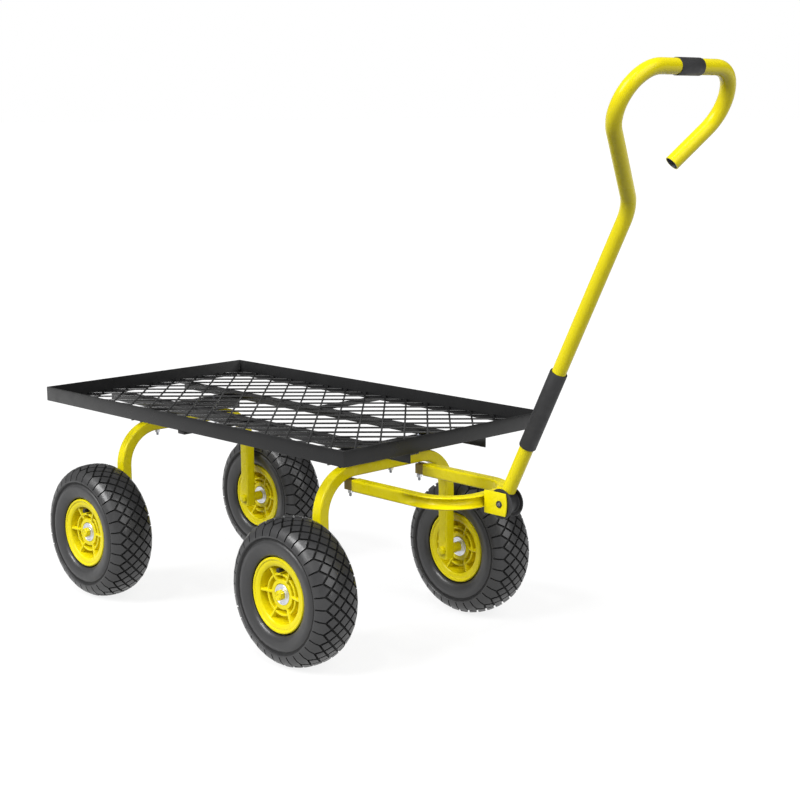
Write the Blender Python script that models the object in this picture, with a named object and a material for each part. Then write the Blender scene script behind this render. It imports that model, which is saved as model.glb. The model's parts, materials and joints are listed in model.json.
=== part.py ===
"""Four-wheeled plant trolley: a mesh deck on two bent-tube axles, with a fold-over pull handle.

Frame: metres, +Z up, +X towards the pull handle, +Y to the trolley's left.
The origin lies on the ground, under the middle of the trolley's overall box.
"""
import math

import bmesh
import bpy
from mathutils import Matrix, Vector

GAP = 0.0003                    # clearance between two pieces that touch

# Deck
DECK_X = -0.2256                # middle of the deck, seen from the origin
DECK_LENGTH = 0.805
DECK_WIDTH = 0.450
DECK_BOTTOM = 0.346
LIP_HEIGHT = 0.0254
LIP_THICK = 0.0025
FLANGE_WIDTH = 0.025
WIRE = 0.0024                   # width and height of a mesh wire
WIRE_CELLS = 15                 # diamonds along the deck
WIRE_PHASE = (0.65, 0.10)       # where the two wire families start, in cells

# Under-deck steel
RAIL_FACE_Y = 0.0865            # outer face of each rail
RAIL_FLANGE = 0.020
RAIL_HEIGHT = 0.0155
RAIL_THICK = 0.0025
RAIL_INSET = 0.002
STRUT_WIDTH = 0.018
STRUT_HEIGHT = 0.006
MEMBER_WIDTH = 0.030
MEMBER_HALF_SPAN = 0.115
MEMBER_THICK = 0.0025

# Axle tubes, bent from square tube
TUBE = 0.020
TUBE_WALL = 0.0018
FRONT_AXLE_X = DECK_X + 0.2562
REAR_AXLE_X = DECK_X - 0.2826
CROSS_Z = 0.2972                # centre of the tube under the deck
LEG_Y = 0.1435                  # centre of each leg
LEG_BOTTOM = 0.106
LEG_BEND_RADIUS = 0.068

# Steering bow and hinge
BOW_DROP = 0.0026               # the axle tube's bend already dips this far above the bow's outer edge
BOW_Z = CROSS_Z - TUBE - BOW_DROP
BOW_REAR_X = FRONT_AXLE_X - 0.001
BOW_Y = 0.0805
BOW_FRONT_X = DECK_X + 0.481
BOW_BEND_RADIUS = 0.065
PIVOT_X = DECK_X + 0.5225
PIVOT_Z = 0.275
BRACKET_HEIGHT = 0.036
BRACKET_REACH = 0.012           # from the pivot to the side plates' front corners
BRACKET_BULGE = 0.0025
BRACKET_LEVELS = 6              # steps along the side plates' bowed front edges
BRACKET_THICK = 0.0025
BRACKET_BACK_TOP = 0.006        # the back plate stops this far above the pivot, clear of the folded shaft

# Pull handle: distances along the shaft run from the pivot's level
HANDLE_LEAN = math.atan(0.5)    # lean forward from the vertical
SHAFT_SETBACK = 0.0045          # the shaft's axis passes behind the pivot
HANDLE_RADIUS = 0.011
HANDLE_WALL = 0.0015
SHAFT_START = 0.0203
SHAFT_BEND = 0.5115
SHAFT_BEND_RADIUS = 0.065
LOOP_ANGLE = math.radians(41.6)
LOOP_TOP = 0.720
LOOP_RADIUS = 0.0555
LOOP_TIP = 0.5755
LOOP_SHIFT = -0.0025            # the loop sits a little to the right of the shaft
SLEEVE_THICK = 0.0017
BUMPER_START = 0.102
BUMPER_END = 0.236
GRIP_Y = -0.005
GRIP_LENGTH = 0.051
DISC_RADIUS = 0.0235
DISC_THICK = 0.002
CORE_RADIUS = 0.0165
SPIGOT_END = 0.060

# Wheels
WHEEL_Y = 0.200
AXLE_Z = 0.1202                 # height of the axles, down to the flats of the tyres
TYRE_SEGMENTS = 24
TYRE_HALF_WIDTH = 0.0425
RIM_SEGMENTS = 20
RIM_FLANGE_RADIUS = 0.0614
RIM_FLANGE_OUT = 0.0353
RIM_BARREL_RADIUS = 0.0495
RIM_SEAT_RADIUS = 0.0520
RIM_WEB_THICK = 0.006
HUB_RADIUS = 0.0245
HUB_HALF_WIDTH = 0.0265
BEARING_RADIUS = 0.017
BEARING_WIDTH = 0.010
SPINDLE_RADIUS = 0.006
SPACER_RADIUS = 0.0085
VALVE_RADIUS = 0.004
VALVE_OFFSET = 0.029            # outboard of the wheel's middle
VALVE_TIP = 0.0385

# Fasteners
BOLT_RADIUS = 0.003
BOLT_HEAD_RADIUS = 0.0045
BOLT_HEAD_HEIGHT = 0.004
BOLT_Y = {"front": 0.0785, "rear": 0.068}
BOLT_NUT_RADIUS = 0.0052
BOLT_NUT_HEIGHT = 0.005
BOLT_TAIL = 0.004               # thread showing below the nut
PIVOT_BOLT_RADIUS = 0.004
PIVOT_HEAD_RADIUS = 0.0072
PIVOT_HEAD_HEIGHT = 0.004
SPINDLE_HEAD_RADIUS = 0.0080
SPINDLE_HEAD_HEIGHT = 0.006
SPINDLE_NUT_RADIUS = 0.0087
SPINDLE_NUT_HEIGHT = 0.0078

LEFT = 1
RIGHT = -1
SIDES = (("left", LEFT), ("right", RIGHT))
AXLES = (("front", FRONT_AXLE_X), ("rear", REAR_AXLE_X))

COLOURS = {
    "yellow_paint": ((0.84, 0.70, 0.02, 1.0), 0.30, 0.0),
    "yellow_plastic": ((0.84, 0.70, 0.02, 1.0), 0.25, 0.0),
    "black_paint": ((0.045, 0.045, 0.048, 1.0), 0.55, 0.0),
    "tyre_rubber": ((0.050, 0.050, 0.052, 1.0), 0.80, 0.0),
    "zinc": ((0.75, 0.76, 0.78, 1.0), 0.30, 1.0),
    "black_plastic": ((0.020, 0.020, 0.021, 1.0), 0.45, 0.0),
}


def clear_scene():
    """Remove every object of the open file."""
    for old in list(bpy.data.objects):
        bpy.data.objects.remove(old, do_unlink=True)


def material(name):
    """Return the named Principled material, made once."""
    found = bpy.data.materials.get(name)
    if found is not None:
        return found
    colour, roughness, metallic = COLOURS[name]
    made = bpy.data.materials.new(name)
    made.use_nodes = True
    shader = made.node_tree.nodes["Principled BSDF"]
    shader.inputs["Base Color"].default_value = colour
    shader.inputs["Roughness"].default_value = roughness
    shader.inputs["Metallic"].default_value = metallic
    made.diffuse_color = colour
    return made


def add_object(name, mesh, colour, place=None):
    """Link a mesh as a named object with its material."""
    if not mesh.materials:
        mesh.materials.append(material(colour))
    made = bpy.data.objects.new(name, mesh)
    if place is not None:
        made.matrix_world = place
    bpy.context.scene.collection.objects.link(made)
    return made


def finish_mesh(name, grid, smooth_angle=None):
    """Turn a bmesh into a mesh with its faces pointing outwards."""
    bmesh.ops.recalc_face_normals(grid, faces=grid.faces)
    mesh = bpy.data.meshes.new(name)
    grid.to_mesh(mesh)
    grid.free()
    if smooth_angle is not None:
        mesh.shade_smooth()
        mesh.set_sharp_from_angle(angle=math.radians(smooth_angle))
    return mesh


def bridge(grid, rings, closed):
    """Join successive rings of points with quads; closed joins the last ring to the first."""
    made = [[grid.verts.new(point) for point in ring] for ring in rings]
    count = len(made[0])
    last = len(made) if closed else len(made) - 1
    for index in range(last):
        here = made[index]
        there = made[(index + 1) % len(made)]
        for step in range(count):
            after = (step + 1) % count
            grid.faces.new((here[step], here[after], there[after], there[step]))
    return made


def box_mesh(name, low, high):
    """A plain block between two corners."""
    grid = bmesh.new()
    rings = []
    for z in (low[2], high[2]):
        rings.append([(low[0], low[1], z), (high[0], low[1], z), (high[0], high[1], z), (low[0], high[1], z)])
    made = bridge(grid, rings, closed=False)
    grid.faces.new(made[0])
    grid.faces.new(made[1])
    return finish_mesh(name, grid)


def prism_mesh(name, outline, low, high, place):
    """Extrude an outline; place(u, v, w) turns its coordinates and the extrusion's into a point."""
    grid = bmesh.new()
    rings = [[place(u, v, w) for u, v in outline] for w in (low, high)]
    made = bridge(grid, rings, closed=False)
    grid.faces.new(made[0])
    grid.faces.new(made[1])
    return finish_mesh(name, grid)


def turned_mesh(name, profile, segments, ring=False, half_step=False, smooth_angle=35):
    """Revolve (radius, along) points about local Y; ring joins the profile's ends, else they are capped."""
    grid = bmesh.new()
    start = 0.5 if half_step else 0.0
    rings = []
    for radius, along in profile:
        circle = []
        for step in range(segments):
            angle = 2 * math.pi * (step + start) / segments
            circle.append((radius * math.sin(angle), along, -radius * math.cos(angle)))
        rings.append(circle)
    made = bridge(grid, rings, closed=ring)
    if not ring:
        grid.faces.new(made[0])
        grid.faces.new(made[-1])
    return finish_mesh(name, grid, smooth_angle)


def rounded_path(corners, radii, steps):
    """Points along a planar polyline whose inner corners are rounded with arcs."""
    points = [Vector(corners[0])]
    for index in range(1, len(corners) - 1):
        corner = Vector(corners[index])
        back = (Vector(corners[index - 1]) - corner).normalized()
        ahead = (Vector(corners[index + 1]) - corner).normalized()
        turn = math.pi - back.angle(ahead)
        radius = radii[index - 1]
        centre = corner + (back + ahead).normalized() * radius / math.cos(turn / 2)
        first = corner + back * radius * math.tan(turn / 2) - centre
        axis = back.cross(ahead).normalized()
        count = steps[index - 1]
        for step in range(count + 1):
            swing = Matrix.Rotation(-turn * step / count, 3, axis)
            points.append(centre + swing @ first)
    points.append(Vector(corners[-1]))
    return points


def swept_mesh(name, path, normal, outer, inner, smooth_angle=None):
    """Sweep a hollow section along a planar path; section points are (across, along normal)."""
    normal = Vector(normal).normalized()
    outer_rings = []
    inner_rings = []
    for index, point in enumerate(path):
        before = path[max(index - 1, 0)]
        after = path[min(index + 1, len(path) - 1)]
        incoming = (point - before).normalized() if index > 0 else (after - point).normalized()
        outgoing = (after - point).normalized() if index < len(path) - 1 else incoming
        along = (incoming + outgoing).normalized()
        across = normal.cross(along).normalized()
        stretch = 1 / max(along.dot(outgoing), 0.5)
        outer_rings.append([point + across * a * stretch + normal * b for a, b in outer])
        inner_rings.append([point + across * a * stretch + normal * b for a, b in inner])
    grid = bmesh.new()
    bridge(grid, outer_rings + inner_rings[::-1], closed=True)
    return finish_mesh(name, grid, smooth_angle)


def square_section(half):
    """Corners of a square section."""
    return [(-half, -half), (half, -half), (half, half), (-half, half)]


def round_section(radius, sides):
    """Points of a round section."""
    return [(radius * math.cos(2 * math.pi * step / sides), radius * math.sin(2 * math.pi * step / sides))
            for step in range(sides)]


def cut(target, cutters):
    """Cut holes in an object with Boolean modifiers; each cutter stays hidden."""
    for cutter in cutters:
        cutter.hide_render = True
        cutter.display_type = "WIRE"
        hole = target.modifiers.new("hole_" + cutter.name, "BOOLEAN")
        hole.operation = "DIFFERENCE"
        hole.solver = "EXACT"
        hole.object = cutter


def join(target, tools):
    """Unite an object with others through Boolean modifiers; each tool stays hidden."""
    for tool in tools:
        tool.hide_render = True
        tool.display_type = "WIRE"
        union = target.modifiers.new("join_" + tool.name, "BOOLEAN")
        union.operation = "UNION"
        union.solver = "EXACT"
        union.object = tool


def rod(name, radius, low, high, centre, axis, segments=12):
    """A round bar object along an axis, from low to high seen from its centre."""
    mesh = turned_mesh(name, [(radius, low), (radius, high)], segments)
    turn = Vector((0, 1, 0)).rotation_difference(Vector(axis)).to_matrix().to_4x4()
    return add_object(name, mesh, "zinc", Matrix.Translation(centre) @ turn)


# ---------------------------------------------------------------- deck


def build_tray():
    """The deck's rim: an angle section, standing lip outside and flange inside."""
    half_x = DECK_LENGTH / 2
    half_y = DECK_WIDTH / 2
    top = DECK_BOTTOM + LIP_HEIGHT
    shelf = DECK_BOTTOM + LIP_THICK
    profile = ((0, DECK_BOTTOM), (0, top), (LIP_THICK, top), (LIP_THICK, shelf),
               (FLANGE_WIDTH, shelf), (FLANGE_WIDTH, DECK_BOTTOM))
    rings = []
    for inset, z in profile:
        x = half_x - inset
        y = half_y - inset
        rings.append([(DECK_X - x, -y, z), (DECK_X + x, -y, z), (DECK_X + x, y, z), (DECK_X - x, y, z)])
    grid = bmesh.new()
    bridge(grid, rings, closed=True)
    add_object("tray_frame", finish_mesh("tray_frame", grid), "black_paint")


def lattice_crossings(half_x, half_y, cell):
    """Crossings of the two diagonal wire families that lie inside the rim."""
    margin = 1.5 * WIRE
    reach = int((half_x + half_y) / cell) + 2
    found = {}
    for rising in range(-reach, reach + 1):
        for falling in range(-reach, reach + 1):
            total = (rising + WIRE_PHASE[0]) * cell
            difference = (falling + WIRE_PHASE[1]) * cell
            x = (total + difference) / 2
            y = (total - difference) / 2
            if abs(x) < half_x - margin and abs(y) < half_y - margin:
                found[(rising, falling)] = Vector((x, y, 0))
    return found


def build_deck_mesh():
    """Welded diagonal wires, as one lattice that lies on the rim's flange."""
    half_x = DECK_LENGTH / 2 - LIP_THICK - GAP
    half_y = DECK_WIDTH / 2 - LIP_THICK - GAP
    cell = 2 * half_x / WIRE_CELLS
    low = DECK_BOTTOM + LIP_THICK + GAP
    crossings = lattice_crossings(half_x, half_y, cell)
    grid = bmesh.new()
    reach = WIRE / math.sqrt(2)
    # Each crossing is a small diamond; its corners are shared by the arms around it.
    offsets = (Vector((reach, 0, 0)), Vector((0, reach, 0)), Vector((-reach, 0, 0)), Vector((0, -reach, 0)))
    base = Vector((DECK_X, 0, low))
    rise = Vector((0, 0, WIRE))
    corners = {}
    for key, centre in crossings.items():
        bottom = [grid.verts.new(base + centre + offset) for offset in offsets]
        top = [grid.verts.new(base + centre + offset + rise) for offset in offsets]
        grid.faces.new(bottom)
        grid.faces.new(top)
        corners[key] = (bottom, top)
    # Arms leave through the diamond's four sides: the side's first corner and the neighbour across it.
    arms = ((0, (1, 0)), (1, (0, -1)), (2, (-1, 0)), (3, (0, 1)))
    diagonal = cell / math.sqrt(2)
    for key, (bottom, top) in corners.items():
        for side, (rising, falling) in arms:
            first = side
            second = (side + 1) % 4
            neighbour = (key[0] + rising, key[1] + falling)
            near = (bottom[first], bottom[second], top[second], top[first])
            if neighbour in corners:
                if (rising, falling) in ((1, 0), (0, 1)):
                    far_bottom, far_top = corners[neighbour]
                    opposite = (side + 2) % 4
                    after = (opposite + 1) % 4
                    far = (far_bottom[after], far_bottom[opposite], far_top[opposite], far_top[after])
                    for step in range(4):
                        ahead = (step + 1) % 4
                        grid.faces.new((near[step], near[ahead], far[ahead], far[step]))
                continue
            heading = (offsets[first] + offsets[second]).normalized()
            centre = crossings[key]
            room_x = (half_x - centre.x * math.copysign(1, heading.x)) / abs(heading.x)
            room_y = (half_y - centre.y * math.copysign(1, heading.y)) / abs(heading.y)
            length = min(room_x, room_y, diagonal) - WIRE
            if length < WIRE:
                grid.faces.new(near)
                continue
            end = [grid.verts.new(vert.co + heading * length) for vert in near]
            for step in range(4):
                ahead = (step + 1) % 4
                grid.faces.new((near[step], near[ahead], end[ahead], end[step]))
            grid.faces.new(end)
    add_object("deck_mesh", finish_mesh("deck_mesh", grid), "black_paint")


# ---------------------------------------------------------------- under-deck steel


def build_rails():
    """Two angle rails along the deck, with side struts out to the rim."""
    top = DECK_BOTTOM - GAP
    low = top - RAIL_HEIGHT
    half = DECK_LENGTH / 2 - RAIL_INSET
    for word, side in SIDES:
        outline = [(side * RAIL_FACE_Y, low), (side * RAIL_FACE_Y, top),
                   (side * (RAIL_FACE_Y - RAIL_FLANGE), top),
                   (side * (RAIL_FACE_Y - RAIL_FLANGE), top - RAIL_THICK),
                   (side * (RAIL_FACE_Y - RAIL_THICK), top - RAIL_THICK),
                   (side * (RAIL_FACE_Y - RAIL_THICK), low)]
        mesh = prism_mesh("rail_" + word, outline, DECK_X - half, DECK_X + half, lambda u, v, w: (w, u, v))
        add_object("rail_" + word, mesh, "black_paint")
        near = RAIL_FACE_Y + GAP
        far = DECK_WIDTH / 2 - LIP_THICK
        low_y, high_y = sorted((side * near, side * far))
        mesh = box_mesh("side_strut_" + word, (DECK_X - STRUT_WIDTH / 2, low_y, top - STRUT_HEIGHT),
                        (DECK_X + STRUT_WIDTH / 2, high_y, top))
        add_object("side_strut_" + word, mesh, "black_paint")


def build_cross_members():
    """Inverted channels that carry the rails on the axle tubes."""
    low = CROSS_Z + TUBE / 2 + GAP
    high = DECK_BOTTOM - GAP - RAIL_HEIGHT - GAP
    half = MEMBER_WIDTH / 2
    for word, axle_x in AXLES:
        inner = half - MEMBER_THICK
        roof = high - MEMBER_THICK
        outline = [(axle_x - half, low), (axle_x - half, high), (axle_x + half, high), (axle_x + half, low),
                   (axle_x + inner, low), (axle_x + inner, roof), (axle_x - inner, roof), (axle_x - inner, low)]
        name = "cross_member_" + word
        mesh = prism_mesh(name, outline, -MEMBER_HALF_SPAN, MEMBER_HALF_SPAN, lambda u, v, w: (u, w, v))
        member = add_object(name, mesh, "black_paint")
        cut(member, [bolt_cutter("%s_%s" % (name, side_word), axle_x, side * BOLT_Y[word], roof - GAP, high + GAP)
                     for side_word, side in SIDES])


def bolt_cutter(name, x, y, low, high):
    """A hidden rod that cuts one deck bolt's hole."""
    return rod("cutter_" + name, BOLT_RADIUS + GAP, low, high, (x, y, 0), (0, 0, 1), 8)


def build_axle_tubes():
    """Two portal-shaped square tubes: a leg down to each wheel and a span under the deck."""
    outer = square_section(TUBE / 2)
    inner = square_section(TUBE / 2 - TUBE_WALL)
    for word, axle_x in AXLES:
        corners = [(axle_x, -LEG_Y, LEG_BOTTOM), (axle_x, -LEG_Y, CROSS_Z),
                   (axle_x, LEG_Y, CROSS_Z), (axle_x, LEG_Y, LEG_BOTTOM)]
        path = rounded_path(corners, (LEG_BEND_RADIUS, LEG_BEND_RADIUS), (7, 7))
        name = "axle_tube_" + word
        tube = add_object(name, swept_mesh(name, path, (1, 0, 0), outer, inner), "yellow_paint")
        cutters = []
        for side_word, side in SIDES:
            cutters.append(rod("cutter_spindle_%s_%s" % (word, side_word), SPINDLE_RADIUS + GAP, -TUBE, TUBE,
                               (axle_x, side * LEG_Y, AXLE_Z), (0, 1, 0), 12))
            cutters.append(bolt_cutter("%s_%s" % (name, side_word), axle_x, side * BOLT_Y[word],
                                       CROSS_Z - TUBE, CROSS_Z + TUBE))
        cut(tube, cutters)


def nut_mesh(name, bolt_radius, radius, low, high):
    """A six-sided nut about local Y that clears its bolt."""
    bore = (bolt_radius + GAP) / math.cos(math.pi / 6)
    profile = [(bore, low), (radius, low), (radius, high), (bore, high)]
    return turned_mesh(name, profile, 6, ring=True, smooth_angle=10)


def build_deck_bolts():
    """Bolts that clamp cross member, axle tube and, in front, the bow; each has its own nut."""
    head_low = DECK_BOTTOM - GAP - RAIL_HEIGHT
    for word, axle_x in AXLES:
        clamp_low = BOW_Z - TUBE / 2 if word == "front" else CROSS_Z - TUBE / 2
        nut_high = clamp_low - GAP
        nut_low = nut_high - BOLT_NUT_HEIGHT
        tail = nut_low - BOLT_TAIL
        for side_word, side in SIDES:
            place = (Matrix.Translation((axle_x, side * BOLT_Y[word], 0))
                     @ Matrix.Rotation(math.radians(90), 4, "X"))
            profile = [(BOLT_RADIUS, tail), (BOLT_RADIUS, head_low), (BOLT_HEAD_RADIUS, head_low),
                       (BOLT_HEAD_RADIUS, head_low + BOLT_HEAD_HEIGHT)]
            name = "deck_bolt_%s_%s" % (word, side_word)
            add_object(name, turned_mesh(name, profile, 8), "zinc", place)
            name = "deck_nut_%s_%s" % (word, side_word)
            add_object(name, nut_mesh(name, BOLT_RADIUS, BOLT_NUT_RADIUS, nut_low, nut_high), "zinc", place)


# ---------------------------------------------------------------- bow and hinge


def build_bow():
    """The U-shaped square tube that reaches forward to the handle's hinge."""
    corners = [(BOW_REAR_X - TUBE / 2, -BOW_Y, BOW_Z), (BOW_FRONT_X, -BOW_Y, BOW_Z),
               (BOW_FRONT_X, BOW_Y, BOW_Z), (BOW_REAR_X - TUBE / 2, BOW_Y, BOW_Z)]
    path = rounded_path(corners, (BOW_BEND_RADIUS, BOW_BEND_RADIUS), (7, 7))
    mesh = swept_mesh("fork_bow", path, (0, 0, 1), square_section(TUBE / 2), square_section(TUBE / 2 - TUBE_WALL))
    bow = add_object("fork_bow", mesh, "yellow_paint")
    cut(bow, [bolt_cutter("fork_bow_" + word, FRONT_AXLE_X, side * BOLT_Y["front"], BOW_Z - TUBE, BOW_Z + TUBE)
              for word, side in SIDES])


def build_bracket():
    """The folded U bracket on the bow's front, whose side plates hold the handle's knuckle."""
    back = BOW_FRONT_X + TUBE / 2 + GAP
    inner_y = HANDLE_RADIUS + GAP + DISC_THICK + GAP
    outer_y = inner_y + BRACKET_THICK
    low = PIVOT_Z - BRACKET_HEIGHT / 2
    rings = []
    for step in range(BRACKET_LEVELS + 1):
        share = 2 * step / BRACKET_LEVELS - 1
        z = PIVOT_Z + share * BRACKET_HEIGHT / 2
        front = PIVOT_X + BRACKET_REACH + BRACKET_BULGE * (1 - share * share)
        rings.append([(back, -outer_y, z), (front, -outer_y, z), (front, -inner_y, z),
                      (back + BRACKET_THICK, -inner_y, z), (back + BRACKET_THICK, inner_y, z),
                      (front, inner_y, z), (front, outer_y, z), (back, outer_y, z)])
    grid = bmesh.new()
    made = bridge(grid, rings, closed=False)
    grid.faces.new(made[0])
    grid.faces.new(made[-1])
    bracket = add_object("hinge_bracket", finish_mesh("hinge_bracket", grid), "yellow_paint")
    notch_low = (back - TUBE, -inner_y, PIVOT_Z + BRACKET_BACK_TOP)
    notch_high = (back + TUBE, inner_y, low + 2 * BRACKET_HEIGHT)
    notch = add_object("cutter_notch", box_mesh("cutter_notch", notch_low, notch_high), "yellow_paint")
    cut(bracket, [rod("cutter_hinge", PIVOT_BOLT_RADIUS + GAP, -2 * outer_y, 2 * outer_y,
                      (PIVOT_X, 0, PIVOT_Z), (0, 1, 0)), notch])
    return outer_y


def build_pivot_bolt(outer_y):
    """The hinge's bolt, head on the right, with its nut on the left."""
    start = -outer_y - GAP
    nut_low = outer_y + GAP
    nut_high = nut_low + PIVOT_HEAD_HEIGHT
    place = Matrix.Translation((PIVOT_X, 0, PIVOT_Z))
    profile = [(PIVOT_HEAD_RADIUS, start - PIVOT_HEAD_HEIGHT), (PIVOT_HEAD_RADIUS, start),
               (PIVOT_BOLT_RADIUS, start), (PIVOT_BOLT_RADIUS, nut_high + 2 * GAP)]
    add_object("hinge_bolt", turned_mesh("hinge_bolt", profile, 12), "zinc", place)
    mesh = nut_mesh("hinge_nut", PIVOT_BOLT_RADIUS, PIVOT_HEAD_RADIUS, nut_low, nut_high)
    add_object("hinge_nut", mesh, "zinc", place)


# ---------------------------------------------------------------- pull handle


def handle_point(along, across):
    """World position of a point in the handle's own plane."""
    lean = Vector((math.sin(HANDLE_LEAN), 0, math.cos(HANDLE_LEAN)))
    back = Vector((-math.cos(HANDLE_LEAN), 0, math.sin(HANDLE_LEAN)))
    pivot = Vector((PIVOT_X, 0, PIVOT_Z))
    return pivot + back * SHAFT_SETBACK + lean * along + Vector((0, across, 0))


def handle_normal():
    """Direction square to the handle's plane."""
    return Vector((math.cos(HANDLE_LEAN), 0, -math.sin(HANDLE_LEAN)))


def pivot_empty():
    """An empty on the hinge's axis, which carries the whole handle."""
    made = bpy.data.objects.new("handle_axis", None)
    made.location = (PIVOT_X, 0, PIVOT_Z)
    bpy.context.scene.collection.objects.link(made)
    bpy.context.view_layer.update()
    return made


def hang(piece, carrier):
    """Parent a piece to its carrier without moving it."""
    piece.parent = carrier
    piece.matrix_parent_inverse = carrier.matrix_world.inverted()


def build_handle(carrier):
    """The bent pull tube with its bumper sleeve and its grip."""
    corner_y = (LOOP_TOP - SHAFT_BEND) * math.tan(LOOP_ANGLE)
    tip_y = corner_y - (LOOP_TOP - LOOP_TIP) * math.tan(LOOP_ANGLE)
    corners = [handle_point(SHAFT_START, 0), handle_point(SHAFT_BEND, 0),
               handle_point(LOOP_TOP, LOOP_SHIFT - corner_y), handle_point(LOOP_TOP, LOOP_SHIFT + corner_y),
               handle_point(LOOP_TIP, LOOP_SHIFT + tip_y)]
    path = rounded_path(corners, (SHAFT_BEND_RADIUS, LOOP_RADIUS, LOOP_RADIUS), (3, 9, 9))
    outer = round_section(HANDLE_RADIUS, 12)
    inner = round_section(HANDLE_RADIUS - HANDLE_WALL, 12)
    mesh = swept_mesh("handle_tube", path, handle_normal(), outer, inner, 40)
    hang(add_object("handle_tube", mesh, "yellow_paint"), carrier)
    for name, ends in (("bumper_sleeve", (handle_point(BUMPER_START, 0), handle_point(BUMPER_END, 0))),
                       ("grip_sleeve", (handle_point(LOOP_TOP, GRIP_Y - GRIP_LENGTH / 2),
                                        handle_point(LOOP_TOP, GRIP_Y + GRIP_LENGTH / 2)))):
        bore = (HANDLE_RADIUS + GAP) / math.cos(math.pi / 12)
        mesh = swept_mesh(name, list(ends), handle_normal(), round_section(bore + SLEEVE_THICK, 12),
                          round_section(bore, 12), 40)
        hang(add_object(name, mesh, "black_plastic"), carrier)


def build_knuckle(carrier):
    """The moulded hinge knuckle: two discs on a core, and a spigot that fills the tube's end."""
    inside = HANDLE_RADIUS + GAP
    outside = inside + DISC_THICK
    hole = PIVOT_BOLT_RADIUS + GAP
    profile = [(hole, -outside), (DISC_RADIUS, -outside), (DISC_RADIUS, -inside), (CORE_RADIUS, -inside),
               (CORE_RADIUS, inside), (DISC_RADIUS, inside), (DISC_RADIUS, outside), (hole, outside)]
    mesh = turned_mesh("handle_knuckle", profile, 24, ring=True)
    knuckle = add_object("handle_knuckle", mesh, "black_plastic", Matrix.Translation((PIVOT_X, 0, PIVOT_Z)))
    lean = Vector((math.sin(HANDLE_LEAN), 0, math.cos(HANDLE_LEAN)))
    spigot = rod("cutter_spigot", HANDLE_RADIUS - HANDLE_WALL - 2 * GAP, CORE_RADIUS / 2, SPIGOT_END,
                 handle_point(0, 0), lean)
    join(knuckle, [spigot])
    for piece in (knuckle, spigot):
        hang(piece, carrier)


# ---------------------------------------------------------------- wheels


def mirrored(profile):
    """Complete a half profile of (radius, along) points by its mirror image."""
    return profile + [(radius, -along) for radius, along in reversed(profile)]


def tyre_profile():
    """A U-shaped tyre section, open towards the rim."""
    crown = AXLE_Z / math.cos(math.pi / TYRE_SEGMENTS)
    bead = (RIM_SEAT_RADIUS + GAP) / math.cos(math.pi / TYRE_SEGMENTS)
    bead_out = RIM_FLANGE_OUT - 0.002 - GAP
    outside = [(bead, bead_out), (RIM_FLANGE_RADIUS + 0.001, bead_out), (0.082, TYRE_HALF_WIDTH),
               (0.111, 0.036), (crown, 0.014)]
    inside = [(0.110, -0.016), (0.080, -0.0365), (bead, -0.027)]
    half = mirrored(outside)
    return half + list(reversed(inside)) + [(radius, -along) for radius, along in inside]


def rim_profile():
    """A one-piece rim: flanges and barrel, a web and a hub with two bearing pockets."""
    pocket = BEARING_RADIUS + GAP
    pocket_end = HUB_HALF_WIDTH - BEARING_WIDTH - GAP
    lip = RIM_FLANGE_OUT - 0.002
    web = RIM_WEB_THICK / 2
    face = [(pocket, HUB_HALF_WIDTH), (HUB_RADIUS, HUB_HALF_WIDTH), (HUB_RADIUS, web), (RIM_BARREL_RADIUS, web),
            (RIM_BARREL_RADIUS, RIM_FLANGE_OUT), (RIM_FLANGE_RADIUS, RIM_FLANGE_OUT), (RIM_FLANGE_RADIUS, lip),
            (RIM_SEAT_RADIUS, lip)]
    bore = [(pocket, -pocket_end), (BEARING_RADIUS - 0.004, -pocket_end), (BEARING_RADIUS - 0.004, pocket_end),
            (pocket, pocket_end)]
    return mirrored(face) + bore


def build_wheel_meshes():
    """Meshes that all four wheels share, each about its own axle."""
    bore = SPINDLE_RADIUS + GAP
    shapes = {
        "tyre": (turned_mesh("tyre", tyre_profile(), TYRE_SEGMENTS, ring=True, half_step=True, smooth_angle=50),
                 "tyre_rubber"),
        "rim": (turned_mesh("rim", rim_profile(), RIM_SEGMENTS, ring=True), "yellow_plastic"),
    }
    for word, low in (("outer", HUB_HALF_WIDTH - BEARING_WIDTH), ("inner", -HUB_HALF_WIDTH)):
        profile = [(bore, low), (BEARING_RADIUS, low), (BEARING_RADIUS, low + BEARING_WIDTH),
                   (bore, low + BEARING_WIDTH)]
        shapes["bearing_" + word] = (turned_mesh("bearing_" + word, profile, 12, ring=True), "zinc")
    return shapes


def build_wheel(shapes, axle_word, axle_x, side_word, side):
    """One wheel: tyre, rim, two bearings and a valve, carried by an empty on its axle."""
    tail = "_%s_%s" % (axle_word, side_word)
    carrier = bpy.data.objects.new("wheel_axis" + tail, None)
    carrier.location = (axle_x, side * WHEEL_Y, AXLE_Z)
    bpy.context.scene.collection.objects.link(carrier)
    turn = Matrix.Rotation(0 if side == LEFT else math.pi, 4, "Z")
    for word, (mesh, colour) in shapes.items():
        piece = add_object(word + tail, mesh, colour)
        piece.parent = carrier
        piece.matrix_local = turn
    mesh = turned_mesh("valve", [(VALVE_RADIUS, VALVE_TIP), (VALVE_RADIUS, RIM_BARREL_RADIUS - 2 * GAP)], 8)
    valve = add_object("valve" + tail, mesh, "black_plastic")
    valve.parent = carrier
    valve.matrix_local = (Matrix.Translation((0, side * VALVE_OFFSET, 0))
                          @ Matrix.Rotation(math.radians(90), 4, "X"))


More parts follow.
